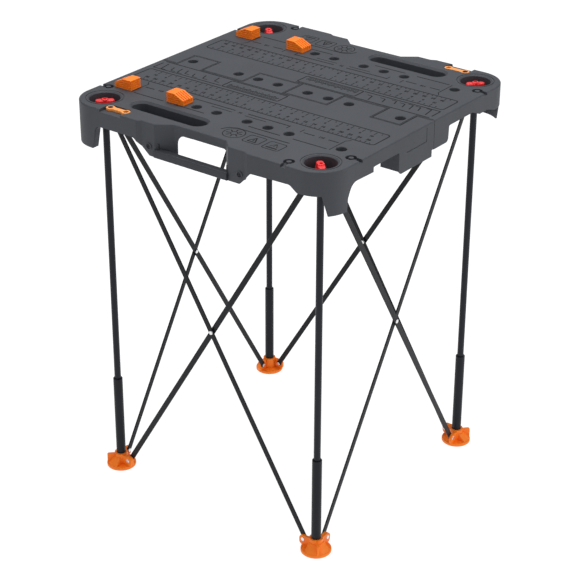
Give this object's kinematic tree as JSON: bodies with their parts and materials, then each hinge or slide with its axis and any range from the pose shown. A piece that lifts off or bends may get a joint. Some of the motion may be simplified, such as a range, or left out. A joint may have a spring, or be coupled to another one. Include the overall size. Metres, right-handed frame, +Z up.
{
  "type": "folding work table",
  "caption": "Square folding work table with a stepped two-part deck with dog holes, bench dogs, lock knobs, link latches, and telescoping posts joined by scissor braces.",
  "frame": {"origin": "on the floor, under the centre of the deck", "axes": "+Z up; the front edge with its handle faces -Y; +X to the right of someone who stands at the front edge"},
  "size_m": [0.606, 0.606, 0.8325],
  "materials": {
    "deck_plastic": "fine moulded texture",
    "grip_plastic": "fine moulded texture",
    "screw_steel": "blackened steel screw",
    "rivet_steel": "bright zinc",
    "bright_steel": "zinc plated",
    "knob_red": "glossy red moulding",
    "latch_orange": "glossy orange moulding",
    "dog_orange": "satin orange moulding",
    "foot_orange": "satin orange moulding",
    "hub_plastic": "black moulding",
    "tube_steel": "black powder coat",
    "sleeve_steel": "black powder coat",
    "brace_steel": "black powder coat"
  },
  "bodies": {
    "hub_front_left": {"hub_front_left": "hub_plastic", "hub_rivets_front_left": "rivet_steel", "post_tube_front_left": "tube_steel"},
    "foot_front_left": {"foot_front_left": "foot_orange", "foot_rivets_front_left": "rivet_steel", "post_sleeve_front_left": "sleeve_steel"},
    "hub_front_right": {"hub_front_right": "hub_plastic", "hub_rivets_front_right": "rivet_steel", "post_tube_front_right": "tube_steel"},
    "foot_front_right": {"foot_front_right": "foot_orange", "foot_rivets_front_right": "rivet_steel", "post_sleeve_front_right": "sleeve_steel"},
    "hub_rear_right": {"hub_rear_right": "hub_plastic", "hub_rivets_rear_right": "rivet_steel", "post_tube_rear_right": "tube_steel"},
    "foot_rear_right": {"foot_rear_right": "foot_orange", "foot_rivets_rear_right": "rivet_steel", "post_sleeve_rear_right": "sleeve_steel"},
    "hub_rear_left": {"hub_rear_left": "hub_plastic", "hub_rivets_rear_left": "rivet_steel", "post_tube_rear_left": "tube_steel"},
    "foot_rear_left": {"foot_rear_left": "foot_orange", "foot_rivets_rear_left": "rivet_steel", "post_sleeve_rear_left": "sleeve_steel"},
    "brace_front_outer": {"brace_front_outer": "brace_steel", "mid_rivet_front": "rivet_steel"},
    "brace_front_inner": {"brace_front_inner": "brace_steel"},
    "brace_right_outer": {"brace_right_outer": "brace_steel", "mid_rivet_right": "rivet_steel"},
    "brace_right_inner": {"brace_right_inner": "brace_steel"},
    "brace_rear_outer": {"brace_rear_outer": "brace_steel", "mid_rivet_rear": "rivet_steel"},
    "brace_rear_inner": {"brace_rear_inner": "brace_steel"},
    "brace_left_outer": {"brace_left_outer": "brace_steel", "mid_rivet_left": "rivet_steel"},
    "brace_left_inner": {"brace_left_inner": "brace_steel"},
    "hinge_rod": {"hinge_rod": "bright_steel"},
    "deck_front": {"deck_front": "deck_plastic", "handle_grip_front": "grip_plastic", "handle_screws_front": "screw_steel", "latch_screw_front": "screw_steel"},
    "deck_rear": {"deck_rear": "deck_plastic", "handle_grip_rear": "grip_plastic", "handle_screws_rear": "screw_steel", "latch_screw_rear": "screw_steel"},
    "lock_knob_front_left": {"lock_knob_front_left": "knob_red", "lock_shaft_front_left": "bright_steel"},
    "lock_knob_front_right": {"lock_knob_front_right": "knob_red", "lock_shaft_front_right": "bright_steel"},
    "lock_knob_rear_right": {"lock_knob_rear_right": "knob_red", "lock_shaft_rear_right": "bright_steel"},
    "lock_knob_rear_left": {"lock_knob_rear_left": "knob_red", "lock_shaft_rear_left": "bright_steel"},
    "link_latch_front": {"link_latch_front": "latch_orange"},
    "bench_dog_front_left": {"bench_dog_front_left": "dog_orange"},
    "bench_dog_front_right": {"bench_dog_front_right": "dog_orange"},
    "link_latch_rear": {"link_latch_rear": "latch_orange"},
    "bench_dog_rear_left": {"bench_dog_rear_left": "dog_orange"},
    "bench_dog_rear_right": {"bench_dog_rear_right": "dog_orange"}
  },
  "joints": [
    {"name": "deck_lift", "type": "slide", "parent": "hub_front_left", "child": "hinge_rod", "axis": [0, 0, 1], "range_m": [0, 1.2]},
    {"name": "deck_fold_front", "type": "hinge", "parent": "hinge_rod", "child": "deck_front", "pos_m": [0, 0, 0.7485], "axis": [1, 0, 0], "range_deg": [0, 90.01]},
    {"name": "deck_fold_rear", "type": "hinge", "parent": "hinge_rod", "child": "deck_rear", "pos_m": [0, 0, 0.7485], "axis": [1, 0, 0], "range_deg": [-90.01, 0]},
    {"name": "brace_front_outer_pivot", "type": "hinge", "parent": "hub_front_left", "child": "brace_front_outer", "pos_m": [-0.2261, -0.2531, 0.77], "axis": [0, -1, 0], "range_deg": [-29.8, 0]},
    {"name": "foot_front_right_pivot", "type": "hinge", "parent": "brace_front_outer", "child": "foot_front_right", "pos_m": [0.2261, -0.2531, 0.0195], "axis": [0, -1, 0], "range_deg": [0, 29.8]},
    {"name": "brace_front_inner_scissor", "type": "hinge", "parent": "brace_front_outer", "child": "brace_front_inner", "pos_m": [0, -0.2513, 0.39475], "axis": [0, -1, 0], "range_deg": [0, 59.59]},
    {"name": "foot_front_left_pivot", "type": "hinge", "parent": "brace_front_inner", "child": "foot_front_left", "pos_m": [-0.2261, -0.2495, 0.0195], "axis": [0, -1, 0], "range_deg": [-29.8, 0]},
    {"name": "hub_front_right_pivot", "type": "hinge", "parent": "brace_front_inner", "child": "hub_front_right", "pos_m": [0.2261, -0.2495, 0.77], "axis": [0, -1, 0], "range_deg": [-29.8, 0]},
    {"name": "brace_left_inner_pivot", "type": "hinge", "parent": "hub_front_left", "child": "brace_left_inner", "pos_m": [-0.2495, -0.2261, 0.77], "axis": [-1, 0, 0], "range_deg": [0, 29.8]},
    {"name": "foot_rear_left_pivot", "type": "hinge", "parent": "brace_left_inner", "child": "foot_rear_left", "pos_m": [-0.2495, 0.2261, 0.0195], "axis": [-1, 0, 0], "range_deg": [-29.8, 0]},
    {"name": "brace_left_outer_scissor", "type": "hinge", "parent": "brace_left_inner", "child": "brace_left_outer", "pos_m": [-0.2513, 0, 0.39475], "axis": [-1, 0, 0], "range_deg": [-59.59, 0]},
    {"name": "hub_rear_left_pivot", "type": "hinge", "parent": "brace_left_outer", "child": "hub_rear_left", "pos_m": [-0.2531, 0.2261, 0.77], "axis": [-1, 0, 0], "range_deg": [0, 29.8]},
    {"name": "brace_right_outer_pivot", "type": "hinge", "parent": "hub_front_right", "child": "brace_right_outer", "pos_m": [0.2531, -0.2261, 0.77], "axis": [1, 0, 0], "range_deg": [-29.8, 0]},
    {"name": "foot_rear_right_pivot", "type": "hinge", "parent": "brace_right_outer", "child": "foot_rear_right", "pos_m": [0.2531, 0.2261, 0.0195], "axis": [1, 0, 0], "range_deg": [0, 29.8]},
    {"name": "brace_right_inner_scissor", "type": "hinge", "parent": "brace_right_outer", "child": "brace_right_inner", "pos_m": [0.2513, 0, 0.39475], "axis": [1, 0, 0], "range_deg": [0, 59.59]},
    {"name": "hub_rear_right_pivot", "type": "hinge", "parent": "brace_right_inner", "child": "hub_rear_right", "pos_m": [0.2495, 0.2261, 0.77], "axis": [1, 0, 0], "range_deg": [-29.8, 0]},
    {"name": "brace_rear_inner_pivot", "type": "hinge", "parent": "hub_rear_left", "child": "brace_rear_inner", "pos_m": [-0.2261, 0.2495, 0.77], "axis": [0, 1, 0], "range_deg": [0, 29.8]},
    {"name": "brace_rear_outer_scissor", "type": "hinge", "parent": "brace_rear_inner", "child": "brace_rear_outer", "pos_m": [0, 0.2513, 0.39475], "axis": [0, 1, 0], "range_deg": [-59.59, 0]},
    {"name": "lock_turn_front_left", "type": "hinge", "parent": "deck_front", "child": "lock_knob_front_left", "pos_m": [-0.2513, -0.2513, 0.79], "axis": [0, 0, 1], "range_deg": [0, 90]},
    {"name": "lock_turn_front_right", "type": "hinge", "parent": "deck_front", "child": "lock_knob_front_right", "pos_m": [0.2513, -0.2513, 0.79], "axis": [0, 0, 1], "range_deg": [0, 90]},
    {"name": "lock_turn_rear_right", "type": "hinge", "parent": "deck_rear", "child": "lock_knob_rear_right", "pos_m": [0.2513, 0.2513, 0.79], "axis": [0, 0, 1], "range_deg": [0, 90]},
    {"name": "lock_turn_rear_left", "type": "hinge", "parent": "deck_rear", "child": "lock_knob_rear_left", "pos_m": [-0.2513, 0.2513, 0.79], "axis": [0, 0, 1], "range_deg": [0, 90]},
    {"name": "link_swing_front", "type": "hinge", "parent": "deck_front", "child": "link_latch_front", "pos_m": [-0.209, -0.2815, 0.81], "axis": [0, 0, -1], "range_deg": [0, 90]},
    {"name": "dog_lift_front_left", "type": "slide", "parent": "deck_front", "child": "bench_dog_front_left", "axis": [0, 0, 1], "range_m": [0, 0.04]},
    {"name": "dog_lift_front_right", "type": "slide", "parent": "deck_front", "child": "bench_dog_front_right", "axis": [0, 0, 1], "range_m": [0, 0.04]},
    {"name": "link_swing_rear", "type": "hinge", "parent": "deck_rear", "child": "link_latch_rear", "pos_m": [0.209, 0.2815, 0.81], "axis": [0, 0, -1], "range_deg": [0, 90]},
    {"name": "dog_lift_rear_left", "type": "slide", "parent": "deck_rear", "child": "bench_dog_rear_left", "axis": [0, 0, 1], "range_m": [0, 0.04]},
    {"name": "dog_lift_rear_right", "type": "slide", "parent": "deck_rear", "child": "bench_dog_rear_right", "axis": [0, 0, 1], "range_m": [0, 0.04]}
  ],
  "couplings": [
    {"joint": "deck_fold_front", "follows": "deck_lift", "rad_per_m": 1.309},
    {"joint": "deck_fold_rear", "follows": "deck_lift", "rad_per_m": -1.309},
    {"joint": "brace_front_outer_pivot", "follows": "deck_lift", "rad_per_m": -0.43326},
    {"joint": "foot_front_right_pivot", "follows": "deck_lift", "rad_per_m": 0.43326},
    {"joint": "brace_front_inner_scissor", "follows": "deck_lift", "rad_per_m": 0.86651},
    {"joint": "foot_front_left_pivot", "follows": "deck_lift", "rad_per_m": -0.43326},
    {"joint": "hub_front_right_pivot", "follows": "deck_lift", "rad_per_m": -0.43326},
    {"joint": "brace_left_inner_pivot", "follows": "deck_lift", "rad_per_m": 0.43326},
    {"joint": "foot_rear_left_pivot", "follows": "deck_lift", "rad_per_m": -0.43326},
    {"joint": "brace_left_outer_scissor", "follows": "deck_lift", "rad_per_m": -0.86651},
    {"joint": "hub_rear_left_pivot", "follows": "deck_lift", "rad_per_m": 0.43326},
    {"joint": "brace_right_outer_pivot", "follows": "deck_lift", "rad_per_m": -0.43326},
    {"joint": "foot_rear_right_pivot", "follows": "deck_lift", "rad_per_m": 0.43326},
    {"joint": "brace_right_inner_scissor", "follows": "deck_lift", "rad_per_m": 0.86651},
    {"joint": "hub_rear_right_pivot", "follows": "deck_lift", "rad_per_m": -0.43326},
    {"joint": "brace_rear_inner_pivot", "follows": "deck_lift", "rad_per_m": 0.43326},
    {"joint": "brace_rear_outer_scissor", "follows": "deck_lift", "rad_per_m": -0.86651}
  ]
}
